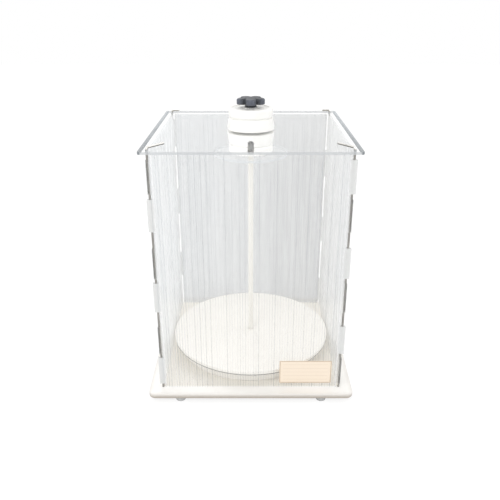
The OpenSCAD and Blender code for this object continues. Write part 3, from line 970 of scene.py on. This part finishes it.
class CARRIER_OT_corner_rods(bpy.types.Operator):
    """Four bent steel rods that pin the walls together"""

    bl_idname = "carrier.corner_rods"
    bl_label = "Corner rods"

    def execute(self, context):
        """Sweeps each rod along its stem, a quarter circle and its level arm.

        The quarter circle's point is the bend's radius times one minus the cosine of the angle
        out along the arm, and times the sine of the angle up. Both tips taper over 0.8 mm.
        """
        sizes = context.scene.carrier_sizes
        colours = context.scene.carrier_colours
        steel = steel_drawn(colours.rod, colours.rod_highlight)
        bend, tip = sizes.bend_r, 0.8 * MM
        front, back = sizes.front_turn, sizes.back_turn
        turns = (front, np.pi - front, np.pi + back, -back)
        places = ((-1, -1), (1, -1), (1, 1), (-1, 1))
        angle = np.linspace(0, np.pi / 2, 12)
        stem = np.linspace(ROD_LOW + tip, ARM_Z - bend - 0.2 * MM, 40)
        arm = np.linspace(0, 1, 12)
        rise = ARM_Z - bend + bend * np.sin(angle)
        up = np.concatenate([[ROD_LOW], stem, rise, 0 * arm + ARM_Z, [ARM_Z]])
        radii = np.full(len(up), ROD_R)
        radii[[0, -1]] = ROD_R - tip
        for corner, turn, place in zip(CORNERS, turns, places):
            end = bend + (sizes.front_arm if place[1] < 0 else sizes.back_arm)
            first = bend + 0.2 * MM
            curve = bend * (1 - np.cos(angle))
            straight = first + (end - tip - first) * arm
            out = np.concatenate([[0], 0 * stem, curve, straight, [end]])
            level = np.array([np.cos(turn), np.sin(turn)])
            ground = np.array(place) * ROD_XY + out[:, None] * level
            path = np.column_stack([ground, up])
            side = np.array([-level[1], level[0], 0])
            node = "corner_rod_" + corner
            rod = surface(node + "_drawn", swept(path, radii, side))
            stand_for(rod, node, "rod_" + corner, steel)
        return {"FINISHED"}


class CARRIER_OT_lid(bpy.types.Operator):
    """Clear lid"""

    bl_idname = "carrier.lid"
    bl_label = "Lid"

    def execute(self, context):
        """Keeps the lid's own shape."""
        colours = context.scene.carrier_colours
        clear = acrylic_cast("acrylic_cast_lid", colours.edge, colours.rim, highest("lid")[0])
        keep_node("lid", clear)
        return {"FINISHED"}


class CARRIER_OT_spools(bpy.types.Operator):
    """Spools over and under the lid"""

    bl_idname = "carrier.spools"
    bl_label = "Spools"

    def execute(self, context):
        """Keeps the spools' own hollows, slots and ribs."""
        white = polypropylene_moulded(context.scene.carrier_colours.spool)
        keep_node("lower_spool", white)
        keep_node("upper_spool", white)
        return {"FINISHED"}


class CARRIER_OT_knob(bpy.types.Operator):
    """Star knob with its insert and washer"""

    bl_idname = "carrier.knob"
    bl_label = "Star knob"

    def execute(self, context):
        """Raises the knob's rings from the bore, round the lobes, to the cap's middle.

        Each ring mixes a circle with the star's outline, drawn in by an inset. The outline is
        the soft maximum of the core's radius and, round each lobe, the far side of its circle:
        the middle's distance times the cosine of the angle, plus the root of the lobe's radius
        squared less the square of that distance times the sine.
        """
        s = context.scene.carrier_sizes
        cols = 240
        turn = np.linspace(0, 2 * np.pi, cols, endpoint=False)
        sector = 2 * np.pi / s.lobes
        # The first lobe points to the front, along -Y
        off = (turn + np.pi / 2 + sector / 2) % sector - sector / 2
        middle = KNOB_R - s.lobe_r
        chord = np.maximum(s.lobe_r**2 - (middle * np.sin(off)) ** 2, 0)
        lobe = middle * np.cos(off) + np.sqrt(chord)
        power = 14
        star = (lobe**power + s.core_r**power) ** (1 / power)
        star *= KNOB_R / star.max()
        bore = hole_r("knob")
        bore_top = KNOB_LOW + s.bore_depth
        lobe_low = KNOB_LOW + s.boss_h
        edge_z = KNOB_TOP - s.crown
        # Each row: share of the star, inset or circle radius, height
        arc = np.linspace(0, np.pi / 2, 9)
        under = np.linspace(0, np.pi / 2, 6)
        low_round = 1.6 * MM
        lead = np.array(
            [
                (0, 0.01 * MM, bore_top),
                (0, bore - 0.2 * MM, bore_top),
                (0, bore, bore_top - 0.2 * MM),
                (0, bore, KNOB_LOW + 0.5 * MM),
                (0, bore + 0.4 * MM, KNOB_LOW),
                (0, s.boss_r - 0.5 * MM, KNOB_LOW),
                (0, s.boss_r, KNOB_LOW + 0.4 * MM),
                (0, s.boss_r, lobe_low - 0.8 * MM),
                (0, s.boss_r + 0.3 * MM, lobe_low - 0.2 * MM),
                (0, s.boss_r + 1.0 * MM, lobe_low),
            ]
        )
        inset, rise = low_round * (1 - np.sin(under)), low_round * (1 - np.cos(under))
        lower = np.stack([0 * under + 1, inset, lobe_low + rise], 1)
        inset, drop = s.lobe_round * (1 - np.cos(arc)), s.lobe_round * (1 - np.sin(arc))
        upper = np.stack([0 * arc + 1, inset, edge_z - drop], 1)
        rows = np.concatenate([lead, lower, upper])
        share, reach, height = rows[:, :1], rows[:, 1:2], rows[:, 2:]
        ring = share * (star - reach) + (1 - share) * reach
        # The crown rises from the lobes' edge to the cap, and its rings turn from star to circle
        t = np.linspace(0, 1, 12)[1:, None]
        crown = (1 - t) * (star - s.lobe_round) + t * (s.cap_r + 0.6 * MM)
        crown_z = edge_z + s.crown * np.sin(t * np.pi / 2) ** 1.2
        cap = softened(
            [
                (s.cap_r + 0.5 * MM, KNOB_TOP),
                (s.cap_r + 0.4 * MM, KNOB_TOP - 0.9 * MM),
                (s.cap_r, KNOB_TOP - 0.9 * MM),
                (s.cap_r - 0.1 * MM, KNOB_TOP - 0.1 * MM),
                (0.01 * MM, KNOB_TOP - 0.3 * MM),
            ],
            np.array([0.1, 0.1, 0.1, 0.3, 0]) * MM,
            5,
        )
        radius = np.concatenate([ring, crown, cap[:, :1] + 0 * star])
        level = np.concatenate([height, crown_z, cap[:, 1:]])
        x, y = radius * np.cos(turn), radius * np.sin(turn)
        grid = np.stack([x, y, level + 0 * radius], 2)
        knob = surface("knob_star", grid)
        dark = nylon_moulded(context.scene.carrier_colours.knob)
        stand_for(knob, "knob", "knob", dark)
        keep_node("knob_insert", metal_turned("brass_turned", linear("#c9a85e"), 0.4))
        keep_node("knob_washer", metal_turned("steel_washer", linear("#a8aaac"), 0.6))
        return {"FINISHED"}


class CARRIER_OT_stage(bpy.types.Operator):
    """White floor, white room, lamps and the camera"""

    bl_idname = "carrier.stage"
    bl_label = "Stage"

    def execute(self, context):
        """Lays the floor, hangs the lamps and sets the camera."""
        scene, stage = context.scene, context.scene.carrier_stage
        side = 14.0
        mesh = bpy.data.meshes.new("floor")
        corners = np.array([(-1, -1, 0), (1, -1, 0), (1, 1, 0), (-1, 1, 0)]) * side / 2
        mesh.from_pydata(corners, [], [(0, 1, 2, 3)])
        floor = bpy.data.objects.new("floor", mesh)
        scene.collection.objects.link(floor)
        coat(floor, floor_white())

        world = bpy.data.worlds.new("white_room")
        scene.world = world
        world.use_nodes = True
        tree = world.node_tree
        tree.nodes.clear()
        room = add(tree, "Background", {"Color": linear("#ffffff"), "Strength": stage.room})
        white = add(tree, "Background", {"Color": linear("#ffffff"), "Strength": 1.0})
        mixed = add(tree, "MixShader", {0: camera_rays(tree, 1.0), 1: room, 2: white})
        add(tree, "OutputWorld", {"Surface": mixed})

        # Each lamp: name, place, the point it looks at, width, power
        lamps = (
            ("key_lamp", (-0.9, -1.5, 1.9), (0, 0, 0.3), 1.2, stage.key),
            ("side_lamp", (1.8, 0.2, 1.4), (0, 0, 0.3), 1.0, stage.key * 0.4),
            ("back_lamp", (-0.6, 1.8, 1.8), (0, 0, 0.3), 1.2, stage.key * 0.5),
        )
        for name, place, aim, width, power in lamps:
            lamp = bpy.data.lights.new(name, "AREA")
            lamp.shape = "DISK"
            lamp.size = width
            lamp.energy = power
            holder = bpy.data.objects.new(name, lamp)
            holder.location = place
            look = Vector(np.subtract(aim, place))
            holder.rotation_euler = look.to_track_quat("-Z", "Y").to_euler()
            scene.collection.objects.link(holder)

        lens = bpy.data.cameras.new("camera")
        lens.lens = stage.lens
        lens.sensor_width = 36
        lens.shift_x = stage.shift
        lens.clip_start, lens.clip_end = 0.01, 50
        camera = bpy.data.objects.new("camera", lens)
        camera.location = (0, -stage.distance, stage.height)
        camera.rotation_euler = (np.pi / 2 - stage.tilt, 0, 0)
        scene.collection.objects.link(camera)
        scene.camera = camera
        scene.view_settings.view_transform = "Standard"
        # A line of sight crosses up to 4 skins and dozens of ribs in each wall
        scene.cycles.transparent_max_bounces = 96
        return {"FINISHED"}


class CARRIER_PT_panel(bpy.types.Panel):
    """Lists the carrier's pieces"""

    bl_idname = "CARRIER_PT_panel"
    bl_label = "Cake carrier"
    bl_space_type = "VIEW_3D"
    bl_region_type = "UI"
    bl_category = "Carrier"

    def draw(self, context):
        """One button for each group of pieces."""
        for operator in OPERATORS:
            self.layout.operator(operator.bl_idname)


GROUPS = (CarrierSizes, CarrierColours, CarrierStage)
OPERATORS = (
    CARRIER_OT_base,
    CARRIER_OT_centre_rod,
    CARRIER_OT_plates,
    CARRIER_OT_walls,
    CARRIER_OT_corner_rods,
    CARRIER_OT_lid,
    CARRIER_OT_spools,
    CARRIER_OT_knob,
    CARRIER_OT_stage,
)
CLASSES = (*GROUPS, *OPERATORS, CARRIER_PT_panel)


def register():
    """Registers the classes, and hangs their values on the scene."""
    for made in CLASSES:
        bpy.utils.register_class(made)
    bpy.types.Scene.carrier_sizes = PointerProperty(type=CarrierSizes)
    bpy.types.Scene.carrier_colours = PointerProperty(type=CarrierColours)
    bpy.types.Scene.carrier_stage = PointerProperty(type=CarrierStage)


def unregister():
    """Takes the values off the scene, and unregisters the classes."""
    del bpy.types.Scene.carrier_stage
    del bpy.types.Scene.carrier_colours
    del bpy.types.Scene.carrier_sizes
    for made in reversed(CLASSES):
        bpy.utils.unregister_class(made)


def main():
    """Builds every piece and the stage."""
    register()
    for operator in OPERATORS:
        group, name = operator.bl_idname.split(".")
        getattr(getattr(bpy.ops, group), name)()


if __name__ == "__main__":
    main()
